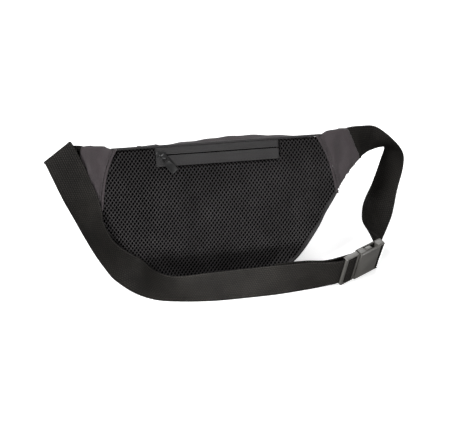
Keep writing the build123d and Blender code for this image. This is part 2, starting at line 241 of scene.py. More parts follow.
def panel_depth(x, height):
    """How the padded back swells outwards in its middle and tucks in towards its lower edge."""
    half = max(half_width(PANEL_EDGES, x, height), 1.0)
    side = smooth_step((1 - abs(x) / half) * 2.2)
    rise = smooth_step((height - PANEL["bottom"]) / 55)
    fall = smooth_step((WINDOW_LOW + 2 - height) / 32)
    tuck = PANEL_TUCK * (1 - smooth_step((height - PANEL["bottom"]) / 72)) * min(1.0, side + 0.3)
    past_zip = smooth_step((abs(x) - WINDOW_HALF) / 10)
    roll = PANEL_ROLL * smooth_step((height - 138) / 17) * past_zip
    ripple = 0.5 * noise.noise(Vector((x, 0, height)) * 0.035) * side * fall
    return tuck + roll - PANEL_BULGE * side * rise * fall + ripple


# ---- making meshes -------------------------------------------------------------------------
def link_mesh(name, mesh, materials, body="bag", sharp=None):
    """Turn a bmesh into a finished piece that rides on a body."""
    data = bpy.data.meshes.new(name)
    mesh.to_mesh(data)
    mesh.free()
    for face in data.polygons:
        face.use_smooth = True
    if sharp is not None:
        data.set_sharp_from_angle(angle=radians(sharp))
    piece = bpy.data.objects.new(name, data)
    scene.collection.objects.link(piece)
    for material in materials:
        data.materials.append(material)
    if body:
        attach(piece, body)
    return piece


def grid_on(mesh, columns, rows, place, width=1.0, length=1.0):
    """Add a grid whose vertices are put by place(u, v), with its lengths kept as the UV map."""
    uv = mesh.loops.layers.uv.verify()
    old = set(mesh.verts)
    bmesh.ops.create_grid(mesh, x_segments=columns, y_segments=rows, size=0.5)
    made = [v for v in mesh.verts if v not in old]
    flat = {v: (v.co.x + 0.5, v.co.y + 0.5) for v in made}
    faces = {f for v in made for f in v.link_faces}
    for face in faces:
        for loop in face.loops:
            u, v = flat[loop.vert]
            loop[uv].uv = (u * width, v * length)
    for vert in made:
        vert.co = place(*flat[vert])
    return made, list(faces)


def weld(mesh, gap=0.00002):
    bmesh.ops.remove_doubles(mesh, verts=mesh.verts, dist=gap)


def face_outwards(mesh):
    bmesh.ops.recalc_face_normals(mesh, faces=mesh.faces)


def thicken(mesh, thick):
    """Give an open sheet its thickness."""
    face_outwards(mesh)
    bmesh.ops.solidify(mesh, geom=mesh.faces, thickness=thick)


def cushion(columns, rows, middle, swell):
    """A closed pad: two grids that part by swell(u, v) about middle(u, v) and meet at the rim."""
    mesh = bmesh.new()
    for side in (-1, 1):

        def place(u, v, side=side):
            point, out = middle(u, v)
            return point + out * side * swell(u, v)

        grid_on(mesh, columns, rows, place)
    weld(mesh, 0.00005)
    face_outwards(mesh)
    return mesh


def bar(mesh, start, end, radius, sides=6):
    """Add a short round bar with drawn-in ends, like one stitch."""
    run = end - start
    turn = run.to_track_quat("Z", "Y").to_matrix().to_4x4()
    turn.translation = (start + end) / 2
    got = bmesh.ops.create_cone(
        mesh, cap_ends=True, segments=sides, radius1=radius, radius2=radius,
        depth=run.length * 0.7, matrix=turn,
    )
    caps = {f for v in got["verts"] for f in v.link_faces if len(f.verts) == sides}
    for cap in caps:
        middle = cap.calc_center_median()
        away = (middle - turn.translation).normalized()
        tip = bmesh.ops.extrude_face_region(mesh, geom=[cap])
        for vert in [g for g in tip["geom"] if isinstance(g, bmesh.types.BMVert)]:
            vert.co = middle + (vert.co - middle) * 0.35 + away * run.length * 0.15
    bmesh.ops.delete(mesh, geom=list(caps), context="FACES_ONLY")


def stitch_row(mesh, points, pitch=STITCH_PITCH, length=STITCH_LENGTH, radius=THREAD_RADIUS):
    """Add stitches along a row of points."""
    lengths = run_lengths(points)
    count = max(2, int(lengths[-1] / (pitch * MM)))
    for index in range(count):
        middle = (index + 0.5) / count
        reach = 0.5 * length * MM / lengths[-1]
        start = point_along(points, lengths, max(0.0, middle - reach))
        end = point_along(points, lengths, min(1.0, middle + reach))
        bar(mesh, start, end, radius * MM, sides=5)


def tube_on(mesh, points, outs, profile, closed=False):
    """Sweep a closed profile of (side, out) offsets along points with their outward directions."""
    count = len(profile)
    last = len(points) - 1

    def place(u, v):
        index = round(v * last)
        corner = round(u * count) % count
        ahead = points[(index + 1) % len(points)] if closed else points[min(index + 1, last)]
        behind = points[index - 1] if (closed or index) else points[0]
        run = (ahead - behind).normalized()
        out = (outs[index] - run * outs[index].dot(run)).normalized()
        side = run.cross(out)
        a, b = profile[corner]
        return points[index] + side * a * MM + out * b * MM

    lengths = run_lengths(points)
    made, faces = grid_on(mesh, count, last, place, width=0.01, length=lengths[-1])
    bmesh.ops.remove_doubles(mesh, verts=made, dist=0.000002)
    if not closed:
        rims = [e for e in mesh.edges if e.is_boundary]
        bmesh.ops.holes_fill(mesh, edges=rims, sides=count + 1)
    return faces


def rounded_profile(half_side, half_out, corner_steps=2):
    """A rectangle with round corners, as (side, out) offsets."""
    radius = min(half_side, half_out) * 0.85
    out = []
    for quarter, (sx, sy) in enumerate(((1, 1), (-1, 1), (-1, -1), (1, -1))):
        for step in range(corner_steps + 1):
            angle = (quarter + step / corner_steps) * pi / 2
            x = sx * (half_side - radius) + radius * cos(angle)
            y = sy * (half_out - radius) + radius * sin(angle)
            out.append((x, y))
    return out


def round_profile(radius, sides=8):
    return [(radius * cos(2 * pi * k / sides), radius * sin(2 * pi * k / sides)) for k in range(sides)]


def rounded_copy(node, name, width, body, material, segments=2):
    """A CAD node's shape with its hard edges rounded, standing for the node."""
    mesh = bmesh.new()
    mesh.from_mesh(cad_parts[node].data)
    weld(mesh, 0.00001)
    bmesh.ops.dissolve_limit(
        mesh, angle_limit=radians(1.5), verts=mesh.verts, edges=mesh.edges, use_dissolve_boundaries=False
    )
    hard = [e for e in mesh.edges if len(e.link_faces) == 2 and e.calc_face_angle() > radians(35)]
    bmesh.ops.bevel(
        mesh, geom=hard, offset=width * MM, offset_type="OFFSET", affect="EDGES",
        segments=segments, profile=0.5, material=-1, clamp_overlap=True,
    )
    piece = link_mesh(name, mesh, [material], body, sharp=40)
    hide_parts(node)
    return piece


# ---- cloth filling -------------------------------------------------------------------------
def filled(mesh, voxel, reach, pressure=4.0):
    """Blow a closed shape up a little as cloth, moving no point farther than reach."""
    data = bpy.data.meshes.new("filling")
    mesh.to_mesh(data)
    mesh.free()
    body = bpy.data.objects.new("filling", data)
    scene.collection.objects.link(body)
    even = body.modifiers.new("even", "REMESH")
    even.mode = "VOXEL"
    even.voxel_size = voxel * MM
    view = bpy.context.evaluated_depsgraph_get()
    started = bpy.data.meshes.new_from_object(body.evaluated_get(view))
    body.modifiers.clear()
    body.data = started
    before = [v.co.copy() for v in started.vertices]
    after = before
    cloth = body.modifiers.new("cloth", "CLOTH")
    cloth.settings.use_pressure = True
    cloth.settings.uniform_pressure_force = pressure
    cloth.settings.effector_weights.gravity = 0
    cloth.settings.quality = 4
    for number in range(1, 21):
        scene.frame_set(number)
    view = bpy.context.evaluated_depsgraph_get()
    swollen = body.evaluated_get(view).to_mesh()
    after = [v.co.copy() for v in swollen.vertices]
    body.evaluated_get(view).to_mesh_clear()
    scene.frame_set(1)
    out = bmesh.new()
    out.from_mesh(started)
    out.verts.ensure_lookup_table()
    for vert, old, new in zip(out.verts, before, after):
        shift = new - old
        if shift.length > reach * MM:
            shift = shift.normalized() * reach * MM
        vert.co = old + shift
    bpy.data.objects.remove(body)
    bmesh.ops.smooth_vert(out, verts=out.verts, factor=0.5, use_axis_x=True, use_axis_y=True, use_axis_z=True)
    return out


def subdivided(piece):
    """One level of subdivision on a filled piece."""
    finer = piece.modifiers.new("finer", "SUBSURF")
    finer.levels = 1
    finer.render_levels = 1


# ---- materials -----------------------------------------------------------------------------
def add(tree, kind, **settings):
    """Add a node and set its plain values and named inputs."""
    node = tree.nodes.new(kind)
    for key, value in settings.items():
        if hasattr(node, key):
            setattr(node, key, value)
        else:
            node.inputs[key.replace("_", " ")].default_value = value
    return node


def maths(tree, operation, first, second=None):
    """A maths node on sockets or plain numbers; returns its result socket."""
    node = add(tree, "ShaderNodeMath", operation=operation)
    for index, value in enumerate((first, second)):
        if value is None:
            continue
        if isinstance(value, (int, float)):
            node.inputs[index].default_value = value
        else:
            tree.links.new(value, node.inputs[index])
    return node.outputs[0]


def new_group(name, inputs, outputs):
    """A shader node group with named number, vector or colour sockets."""
    group = bpy.data.node_groups.new(name, "ShaderNodeTree")
    for socket, kind, value in inputs:
        made = group.interface.new_socket(name=socket, in_out="INPUT", socket_type=kind)
        if value is not None:
            made.default_value = value
    for socket, kind in outputs:
        group.interface.new_socket(name=socket, in_out="OUTPUT", socket_type=kind)
    return group, add(group, "NodeGroupInput"), add(group, "NodeGroupOutput")


def weave_group():
    """Yarns crossing over and under: height of the cloth, and how far down between yarns a point is."""
    group, given, result = new_group(
        "weave",
        [
            ("Vector", "NodeSocketVector", None),
            ("Columns", "NodeSocketFloat", 800.0),
            ("Picks", "NodeSocketFloat", 800.0),
            ("Shift", "NodeSocketFloat", 0.5),
        ],
        [("Height", "NodeSocketFloat"), ("Gap", "NodeSocketFloat")],
    )
    split = add(group, "ShaderNodeSeparateXYZ")
    group.links.new(given.outputs["Vector"], split.inputs[0])
    across = maths(group, "MULTIPLY", split.outputs["X"], given.outputs["Columns"])
    along = maths(group, "MULTIPLY", split.outputs["Y"], given.outputs["Picks"])
    column = maths(group, "FLOOR", across)
    stepped = maths(group, "ADD", along, maths(group, "MULTIPLY", column, given.outputs["Shift"]))
    ridge = maths(group, "SINE", maths(group, "MULTIPLY", maths(group, "FRACT", across), pi))
    float_over = maths(group, "ABSOLUTE", maths(group, "SINE", maths(group, "MULTIPLY", stepped, pi)))
    height = maths(group, "MULTIPLY", maths(group, "SQRT", ridge), maths(group, "SQRT", float_over))
    gap = maths(group, "SUBTRACT", 1.0, height)
    group.links.new(height, result.inputs["Height"])
    group.links.new(gap, result.inputs["Gap"])
    return group


def tone_group():
    """Slow and fine changes of colour over a cloth or moulding, darker where the painted-shade input says so.
    """
    group, given, result = new_group(
        "tone",
        [
            ("Vector", "NodeSocketVector", None),
            ("Dark", "NodeSocketColor", (0.01, 0.01, 0.01, 1)),
            ("Light", "NodeSocketColor", (0.03, 0.03, 0.03, 1)),
            ("Coarse", "NodeSocketFloat", 25.0),
            ("Fine", "NodeSocketFloat", 900.0),
            ("Mask", "NodeSocketFloat", 0.0),
        ],
        [("Color", "NodeSocketColor"), ("Value", "NodeSocketFloat")],
    )
    slow = add(group, "ShaderNodeTexNoise", Detail=3.0)
    fast = add(group, "ShaderNodeTexNoise", Detail=2.0)
    for node, scale in ((slow, "Coarse"), (fast, "Fine")):
        group.links.new(given.outputs["Vector"], node.inputs["Vector"])
        group.links.new(given.outputs[scale], node.inputs["Scale"])
    both = maths(group, "ADD", slow.outputs[0], fast.outputs[0])
    value = maths(group, "MULTIPLY", both, 0.5)
    # Painted shade: the colour is pulled darker by the shade input.
    kept = maths(group, "SUBTRACT", value, maths(group, "MULTIPLY", given.outputs["Mask"], 0.5))
    stretched = maths(group, "MULTIPLY", maths(group, "SUBTRACT", kept, 0.2), 1.8)
    mix = add(group, "ShaderNodeMix", data_type="RGBA", clamp_factor=True)
    group.links.new(stretched, mix.inputs[0])
    group.links.new(given.outputs["Dark"], mix.inputs[6])
    group.links.new(given.outputs["Light"], mix.inputs[7])
    group.links.new(mix.outputs[2], result.inputs["Color"])
    group.links.new(value, result.inputs["Value"])
    return group


WEAVE = weave_group()
TONE = tone_group()


def put_group(tree, group, **settings):
    node = add(tree, "ShaderNodeGroup", node_tree=group)
    for key, value in settings.items():
        node.inputs[key].default_value = value
    return node


def plain_start(name, roughness, specular, sheen=0.0, coat=0.0, metallic=0.0):
    """A material with its constant values set on the shader itself."""
    material = bpy.data.materials.new(name)
    material.use_nodes = True
    tree = material.node_tree
    shader = tree.nodes["Principled BSDF"]
    shader.inputs["Roughness"].default_value = roughness
    shader.inputs["Specular IOR Level"].default_value = specular
    shader.inputs["Sheen Weight"].default_value = sheen
    shader.inputs["Sheen Roughness"].default_value = 0.5
    shader.inputs["Coat Weight"].default_value = coat
    shader.inputs["Coat Roughness"].default_value = 0.25
    shader.inputs["Metallic"].default_value = metallic
    return material, tree, shader


def bump_from(tree, shader, height, strength, distance):
    bump = add(tree, "ShaderNodeBump")
    bump.inputs["Strength"].default_value = strength
    bump.inputs["Distance"].default_value = distance
    tree.links.new(height, bump.inputs["Height"])
    tree.links.new(bump.outputs[0], shader.inputs["Normal"])


def cloth(name, dark, light, columns, picks, use_uv=True, roughness=0.85, specular=0.15,
          sheen=0.1, strength=0.6, coarse=25.0, shift=0.5):
    """A woven cloth: yarns as height, painted shade darkening the colour between them, and slow changes of
    tone.
    """
    material, tree, shader = plain_start(name, roughness, specular, sheen)
    where = add(tree, "ShaderNodeTexCoord")
    lean = add(tree, "ShaderNodeMapping")
    source = where.outputs["UV"] if use_uv else where.outputs["Object"]
    if not use_uv:
        lean.inputs["Rotation"].default_value = (-(pi / 2 - LEAN), 0, 0)
    tree.links.new(source, lean.inputs["Vector"])
    yarns = put_group(tree, WEAVE, Columns=columns, Picks=picks, Shift=shift)
    tree.links.new(lean.outputs[0], yarns.inputs["Vector"])
    tone = put_group(tree, TONE, Dark=(*dark, 1), Light=(*light, 1), Coarse=coarse)
    tree.links.new(where.outputs["Object"], tone.inputs["Vector"])
    # Painted shade between the yarns: the deeper the gap, the darker the colour.
    tree.links.new(yarns.outputs["Gap"], tone.inputs["Mask"])
    tree.links.new(tone.outputs["Color"], shader.inputs["Base Color"])
    bump_from(tree, shader, yarns.outputs["Height"], strength, 0.0004)
    return material


def moulded(name, dark, light, roughness, specular, grain, metallic=0.0, coat=0.0, strength=0.15):
    """A moulded or cast finish: fine grain, and roughness that changes slowly."""
    material, tree, shader = plain_start(name, roughness, specular, 0.0, coat, metallic)
    where = add(tree, "ShaderNodeTexCoord")
    tone = put_group(tree, TONE, Dark=(*dark, 1), Light=(*light, 1), Coarse=60.0, Fine=grain)
    tree.links.new(where.outputs["Object"], tone.inputs["Vector"])
    tree.links.new(tone.outputs["Color"], shader.inputs["Base Color"])
    rough = maths(tree, "ADD", maths(tree, "MULTIPLY", tone.outputs["Value"], 0.25), roughness - 0.12)
    tree.links.new(rough, shader.inputs["Roughness"])
    bump_from(tree, shader, tone.outputs["Value"], strength, 0.0003)
    return material


def webbing_material():
    """Nylon webbing: coarse ribbed yarns with a low shine."""
    return cloth(
        "nylon_webbing", (0.004, 0.0037, 0.0033), (0.034, 0.0310, 0.0275), 420.0, 380.0,
        roughness=0.6, specular=0.12, sheen=0.0, strength=1.0,
    )


nylon_webbing = webbing_material()
mesh_yarn = cloth(
    "mesh_yarn", (0.018, 0.0170, 0.0174), (0.080, 0.076, 0.078), 1500.0, 1500.0,
    use_uv=False, roughness=0.8, specular=0.08, sheen=0.0, strength=0.4,
)
# The mesh's back face, coloured near black: partly its own dark yarn, partly painted shade deep in the holes.
mesh_backing_with_painted_shade = cloth(
    "mesh_backing_with_painted_shade", (0.0008, 0.0008, 0.0008), (0.0024, 0.0024, 0.0024), 900.0, 900.0,
    use_uv=False, roughness=0.95, specular=0.0, sheen=0.0,
)
plum_cloth = cloth(
    "plum_cloth", (0.022, 0.0165, 0.0185), (0.050, 0.039, 0.043), 1600.0, 1600.0,
    use_uv=False, roughness=0.6, specular=0.3, sheen=0.2, strength=0.35,
)
shell_cloth = cloth(
    "shell_cloth", (0.018, 0.0135, 0.015), (0.042, 0.033, 0.036), 1500.0, 1500.0,
    roughness=0.62, specular=0.28, sheen=0.2, strength=0.35,
)
strip_cloth = cloth(
    "strip_cloth", (0.017, 0.0162, 0.0165), (0.040, 0.0385, 0.039), 900.0, 900.0,
    roughness=0.62, specular=0.25, sheen=0.1, strength=0.8,
)
binding_cloth = cloth(
    "binding_cloth", (0.016, 0.0150, 0.0155), (0.042, 0.040, 0.041), 1400.0, 900.0,
    roughness=0.7, specular=0.22, sheen=0.1, strength=0.6,
)
tape_cloth = cloth(
    "tape_cloth", (0.014, 0.013, 0.0135), (0.032, 0.030, 0.031), 1700.0, 1200.0,
    roughness=0.75, specular=0.2, strength=0.5,
)
lining_cloth = cloth(
    "lining_cloth", (0.045, 0.045, 0.050), (0.085, 0.085, 0.095), 2200.0, 2200.0,
    roughness=0.7, specular=0.2, strength=0.25,
)
pad_foam = moulded("pad_foam", (0.012, 0.012, 0.012), (0.03, 0.03, 0.03), 0.9, 0.1, 1800.0, strength=0.5)
coil_nylon = moulded("coil_nylon", (0.012, 0.012, 0.012), (0.028, 0.028, 0.028), 0.45, 0.4, 1500.0)
slider_metal = moulded(
    "slider_metal", (0.006, 0.006, 0.0063), (0.018, 0.018, 0.0185), 0.28, 0.7, 1400.0, coat=0.6, strength=0.06
)
pull_rubber = moulded(
    "pull_rubber", (0.003, 0.003, 0.003), (0.009, 0.009, 0.009), 0.34, 0.6, 1200.0, coat=0.3, strength=0.08
)
buckle_acetal = moulded(
    "buckle_acetal", (0.052, 0.050, 0.046), (0.112, 0.108, 0.100), 0.42, 0.5, 2200.0, strength=0.12
)
sewing_thread = moulded("sewing_thread", (0.020, 0.018, 0.019), (0.060, 0.056, 0.058), 0.7, 0.3, 3000.0)


# ---- back panel ----------------------------------------------------------------------------
def pulled_in(x, height):
    """A panel point beyond the outline, or over the zip's window, moved to the nearest cut edge."""
    if inside_window(x, height):
        to_side = WINDOW_HALF - abs(x)
        to_low = height - WINDOW_LOW
        if to_low < to_side:
            return x, WINDOW_LOW
        return (WINDOW_HALF if x > 0 else -WINDOW_HALF), height
    if inside_panel(x, height):
        return x, height
    near, far = 0.0, 1.0
    middle = (PANEL["bottom"] + PANEL["top"]) / 2
    for _ in range(HALVINGS):
        share = (near + far) / 2
        if inside_panel(x * share, middle + (height - middle) * share):
            near = share
        else:
            far = share
    return x * near, middle + (height - middle) * near


def air_mesh():
    """The back's knitted spacer mesh: rows of open cells between rounded yarns."""
    mesh = bmesh.new()
    bmesh.ops.create_grid(mesh, x_segments=MESH_CELLS, y_segments=MESH_CELLS, size=MESH_CELLS / 2)
    middle = (PANEL["bottom"] + PANEL["top"]) / 2
    flat = {}
    for vert in mesh.verts:
        x = (vert.co.x + vert.co.y) * HOLE_PITCH / 2
        height = middle + (vert.co.x - vert.co.y) * HOLE_ROW
        flat[vert] = (x, height)
    good = {v for v, (x, z) in flat.items() if inside_panel(x, z) and not inside_window(x, z)}
    spare = [f for f in mesh.faces if sum(v in good for v in f.verts) < 2]
    bmesh.ops.delete(mesh, geom=spare, context="FACES")
    for vert in mesh.verts:
        x, height = pulled_in(*flat[vert])
        vert.co = (x, 0, height)
    bmesh.ops.recalc_face_normals(mesh, faces=mesh.faces)
    if mesh.faces[:][0].normal.y > 0:
        bmesh.ops.reverse_faces(mesh, faces=mesh.faces)
    weld(mesh, 0.05)
    whole = 0.55 * HOLE_PITCH * HOLE_ROW
    cells_open = [f for f in mesh.faces if f.calc_area() > whole]
    knots = set(mesh.verts)
    bmesh.ops.inset_individual(mesh, faces=cells_open, thickness=YARN_WIDTH, use_even_offset=True)
    corners = [v for f in cells_open for v in f.verts]
    bmesh.ops.bevel(
        mesh, geom=corners, offset=0.55, offset_type="OFFSET", affect="VERTICES",
        segments=1, profile=0.5, material=-1,
    )
    holes = [f for f in mesh.faces if len(f.verts) > 5 and not any(v in knots for v in f.verts)]
    rims = {v for f in holes for v in f.verts}
    for vert in rims:
        vert.co.y += 0.35
    walls = bmesh.ops.extrude_discrete_faces(mesh, faces=holes)
    for face in walls["faces"]:
        for vert in face.verts:
            vert.co.y += HOLE_DEPTH
    bmesh.ops.delete(mesh, geom=walls["faces"], context="FACES")
    for vert in mesh.verts:
        x, depth, height = vert.co
        vert.co = upright(x, panel_depth(x, height) + depth, height)
    return link_mesh("air_mesh", mesh, [mesh_yarn], "bag")


def mesh_underside():
    """The mesh's second face, seen through its holes: near black, partly its own dark yarn and partly painted
    shade deep in the holes.
    """
    def place(u, v):
        height = spread(PANEL["bottom"] + 0.4, PANEL["top"] - 0.4, v)
        x = across_at(PANEL_EDGES, u, height, 0.4)
        return upright(x, panel_depth(x, height) + HOLE_DEPTH + 0.2, height)

    mesh = bmesh.new()
    grid_on(mesh, 60, 40, place, 0.26, 0.155)
    return link_mesh("mesh_underside", mesh, [mesh_backing_with_painted_shade], "bag")


def back_padding():
    """The soft sheet of foam behind the mesh."""
    def middle(u, v):
        height = spread(PANEL["bottom"] + 2.5, PANEL["top"] - 2.5, v)
        x = across_at(PANEL_EDGES, u, height, 2.5)
        out = upright(0, -1, 0) - upright(0, 0, 0)
        return upright(x, panel_depth(x, height) + 5.4, height), out.normalized()

    def swell(u, v):
        rim = min(1.0, 8 * min(u, 1 - u), 8 * min(v, 1 - v))
        return 2.2 * MM * sqrt(max(rim, 0.0))

    piece = link_mesh("back_padding", cushion(48, 32, middle, swell), [pad_foam], "bag")
    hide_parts("back_foam_pad")
    return piece


def tape_run(mesh, path, sway):
    """One run of folded binding along the panel's edge."""
    points = []
    outs = []
    for index, p in enumerate(path):
        ahead = path[min(index + 1, len(path) - 1)]
        behind = path[max(index - 1, 0)]
        run = ahead - behind
        away = upright(run.y, 0, -run.x) - upright(0, 0, 0)
        points.append(upright(p.x, 3.9 + sway * sin(index * 0.9), p.y))
        outs.append(away.normalized())
    tube_on(mesh, points, outs, rounded_profile(4.2, 1.2, 3))


def edge_tape():
    """The folded binding sewn along the back panel's lower edge and its top."""
    mesh = bmesh.new()
    tape_run(mesh, [p for p in smile(PANEL, 1.2) if p.y < PANEL["seam"] + 2], 0.35)
    tape_run(mesh, [Vector((x, PANEL["top"] + 1.2)) for x in range(116, -117, -8)], 0.1)
    face_outwards(mesh)
    piece = link_mesh("edge_tape", mesh, [binding_cloth], "bag")
    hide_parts("edge_binding")
    return piece


# ---- wings ---------------------------------------------------------------------------------
WING_SEAM = [(110.5, 156.6), (119.0, 140.0), (125.4, 120.0), (130.6, 90.5)]
WING_RIM_TOP = [(110.5, 156.6), (120.5, 160.4), (134.0, 163.8), (147.8, 163.4)]
WING_RIM_LOW = [(130.6, 90.5), (138.0, 100.5), (147.5, 112.5), (160.8, 127.6)]


def wing_flat(u, v):
    """Across the wing from its seam (u = 0) to the webbing, up from its lower rim (v = 0)."""
    seam = through(WING_SEAM, 6)
    top = through(WING_RIM_TOP, 6)
    low = through(WING_RIM_LOW, 6)
    seam_at = point_along(seam, run_lengths(seam), 1 - v)
    top_at = point_along(top, run_lengths(top), u)
    low_at = point_along(low, run_lengths(low), u)
    end_at = low[-1].lerp(top[-1], v)
    ruled = seam_at.lerp(end_at, u) + low_at.lerp(top_at, v)
    corner = seam[-1].lerp(seam[0], v).lerp(low[-1].lerp(top[-1], v), u)
    return ruled - corner


def wing_folds(u, v, side):
    """Soft folds that gather towards the webbing and fan out to the seam."""
    fan = (v - 0.45) * (1.3 - 0.8 * u)
    fold = 1.5 * sin(fan * 15 + 3.0 * u + side) * (0.4 + 0.6 * u)
    fold += 1.9 * sin(fan * 7 - 5.5 * u + 1.3 * side)
    fold += 1.0 * noise.noise(Vector((u * 3.5, v * 4.5, side * 3.1)))
    edge = min(1.0, 5 * min(max(u - 0.08, 0.0), 1 - u), 6 * min(v, 1 - v))
    return fold * edge


def soft_wing(side):
    name = "left" if side < 0 else "right"
    out = (upright(0, -1, 0) - upright(0, 0, 0)).normalized()

    def middle(u, v):
        flat = wing_flat(u, v)
        return upright(side * flat.x, spread(0.6, WING_THICK / 2, smooth_step(u * 4)), flat.y), out

    def swell(u, v):
        rim = min(1.0, 3.5 * u + 0.14, 5 * (1 - u) + 0.3, 5 * min(v, 1 - v) + 0.12)
        return 3.1 * MM * sqrt(max(rim, 0.0))

    mesh = bmesh.new()
    for face in (-1, 1):

        def place(u, v, face=face):
            point, away = middle(u, v)
            return point + away * face * swell(u, v)

        grid_on(mesh, 28, 24, place)
    boundary = [e for e in mesh.edges if e.is_boundary]
    bmesh.ops.bridge_loops(mesh, edges=boundary)
    face_outwards(mesh)
    mesh = filled(mesh, 2.4, 1.6)
    origin = upright(0, 0, 0)
    for vert in mesh.verts:
        local = vert.co - origin
        height = (local.z * cos(LEAN) + local.y * sin(LEAN)) / MM
        along = abs(local.x / MM)
        depth = (local.y * cos(LEAN) - local.z * sin(LEAN)) / MM
        u = min(1.0, max(0.0, (along - spread(131, 113, (height - 95) / 61)) / 30))
        low = 95.5 + (along - 133.6) * 1.19
        v = min(1.0, max(0.0, (height - low) / max(161 - low, 1)))
        face = 1.0 if depth < WING_THICK / 2 else -0.6
        vert.co += out * face * wing_folds(u, v, side) * MM
    piece = link_mesh(f"wing_{name}_cloth", mesh, [plum_cloth], "bag")
    subdivided(piece)
    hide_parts(f"wing_{name}")
    return piece


def wing_seam(side):
    """The turned edge where a wing's cloth laps over the mesh, and its row of topstitching."""
    name = "left" if side < 0 else "right"
    seam = through(WING_SEAM, 8)
    out = (upright(0, -1, 0) - upright(0, 0, 0)).normalized()
    mesh = bmesh.new()
    points = [upright(side * (p.x + 0.6), -0.4, p.y) for p in seam]
    tube_on(mesh, points, [out] * len(points), rounded_profile(1.3, 0.75, 3))
    face_outwards(mesh)
    link_mesh(f"wing_{name}_turned_edge", mesh, [plum_cloth], "bag")
    mesh = bmesh.new()
    row = [upright(side * (p.x + 3.4), -2.1, p.y) for p in seam[1:-1]]
    stitch_row(mesh, row)
    link_mesh(f"wing_{name}_stitches", mesh, [sewing_thread], "bag")


# ---- body ----------------------------------------------------------------------------------
def body_side():
    """The band round the sides and bottom: it sags between its two seams."""
    back = smile(PANEL)
    front = smile(FRONT)
    back_lengths = run_lengths(back)
    front_lengths = run_lengths(front)

    def place(u, v):
        a = point_along(back, back_lengths, u)
        b = point_along(front, front_lengths, u)
        middle = a.lerp(b, v)
        away = Vector((middle.x, middle.y - 95)).normalized()
        arch = sin(pi * v)
        crease = noise.noise(Vector((u * 14, v * 3.0, 0.4)))
        pucker = 0.5 * sin(u * 190) * exp(-((min(v, 1 - v)) * 9) ** 2)
        fold = 3.4 * crease * arch + 0.35 * pucker
        sag = -1.5 * arch * smooth_step((60 - middle.y) / 40)
        spot = middle + away * (fold + sag + 1.4 * arch * smooth_step((middle.y - 60) / 40) - 1.0)
        return upright(spot.x, spread(BACK_DEPTH, FRONT_DEPTH, v), max(spot.y, back_floor(v)))

    mesh = bmesh.new()
    grid_on(mesh, 150, 22, place, 0.40, 0.067)
    thicken(mesh, 0.0012)
    piece = link_mesh("body_side", mesh, [shell_cloth], "bag")
    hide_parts("side_gusset")
    return piece


def back_floor(share):
    """The lowest height that keeps the band above the floor at a share of its depth."""
    depth = spread(BACK_DEPTH, FRONT_DEPTH, share)
    return (depth * sin(LEAN) - BASE_LIFT + 2.2) / cos(LEAN)


def front_swell(x, height):
    half = max(half_width(FRONT_EDGES, x, height), 1.0)
    side = smooth_step((1 - abs(x) / half) * 1.8)
    up = smooth_step((height - FRONT["bottom"]) / 40) * smooth_step((FRONT["top"] - height) / 34)
    return side * up


def body_front():
    """The front panel, which swells a little round what the bag holds."""
    def place(u, v):
        height = spread(FRONT["bottom"], FRONT["top"], v)
        x = across_at(FRONT_EDGES, u, height)
        crease = noise.noise(Vector((x * 0.03, 2.0, height * 0.045)))
        return upright(x, FRONT_DEPTH + 1.6 + front_swell(x, height) * (3.2 * crease), height)

    mesh = bmesh.new()
    grid_on(mesh, 72, 40, place, 0.21, 0.103)
    thicken(mesh, -0.0012)
    piece = link_mesh("body_front", mesh, [shell_cloth], "bag")
    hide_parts("front_panel")
    return piece


def front_piping():
    """Corded piping round the front panel's seam."""
    mesh = bmesh.new()
    ring = smile(FRONT, 0.6) + [Vector((x, FRONT["top"] + 0.6)) for x in (72, 48, 24, 0, -24, -48, -72)]
    points = [upright(p.x, FRONT_DEPTH + 0.9, max(p.y, back_floor(1.0) + 0.6)) for p in ring]
    points.append(points[0].copy())
    out = (upright(0, 1, 0) - upright(0, 0, 0)).normalized()
    tube_on(mesh, points, [out] * len(points), round_profile(1.5))
    weld(mesh)
    face_outwards(mesh)
    link_mesh("front_piping", mesh, [binding_cloth], "bag")


def body_top():
    """The top panel, cut open for its zip, with a little slack either side."""
    reach = MAIN_SLOT_REACH
    deep = (FRONT_DEPTH - BACK_DEPTH) / 2

    def across_zip(v):
        if v < 0.4:
            return spread(-deep, -reach, v / 0.4)
        if v > 0.6:
            return spread(reach, deep, (v - 0.6) / 0.4)
        return spread(-reach, reach, (v - 0.4) / 0.2)

    def place(u, v):
        across = across_zip(v)
        share = (across + deep) / (2 * deep)
        half = spread(PANEL["top_half"], FRONT["top_half"], share) - 0.6
        if u < 0.1:
            along = spread(-half, -MAIN_SLOT_HALF, u / 0.1)
        elif u > 0.9:
            along = spread(MAIN_SLOT_HALF, half, (u - 0.9) / 0.1)
        else:
            along = spread(-MAIN_SLOT_HALF, MAIN_SLOT_HALF, (u - 0.1) / 0.8)
        edge = smooth_step((abs(across) - reach) / 6) * smooth_step((deep - abs(across)) / 6)
        slack = edge * (0.7 + 1.5 * noise.noise(Vector((along * 0.05, across * 0.08, 7.7))))
        puff = TOP_PUFF * edge * exp(-((along - 22) / 62) ** 2) * (1 if across < 0 else 0.5)
        return main_zip(along, across, slack + puff - 0.6)

    mesh = bmesh.new()
    made, faces = grid_on(mesh, 60, 30, place, 0.22, 0.067)
    uv = mesh.loops.layers.uv.active
    cut = []
    for face in faces:
        u = sum(loop[uv].uv.x for loop in face.loops) / len(face.loops) / 0.22
        v = sum(loop[uv].uv.y for loop in face.loops) / len(face.loops) / 0.067
        if 0.1 < u < 0.9 and 0.4 < v < 0.6:
            cut.append(face)
    bmesh.ops.delete(mesh, geom=cut, context="FACES")
    thicken(mesh, 0.0012)
    piece = link_mesh("body_top", mesh, [shell_cloth], "bag")
    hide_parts("top_gusset")
    return piece


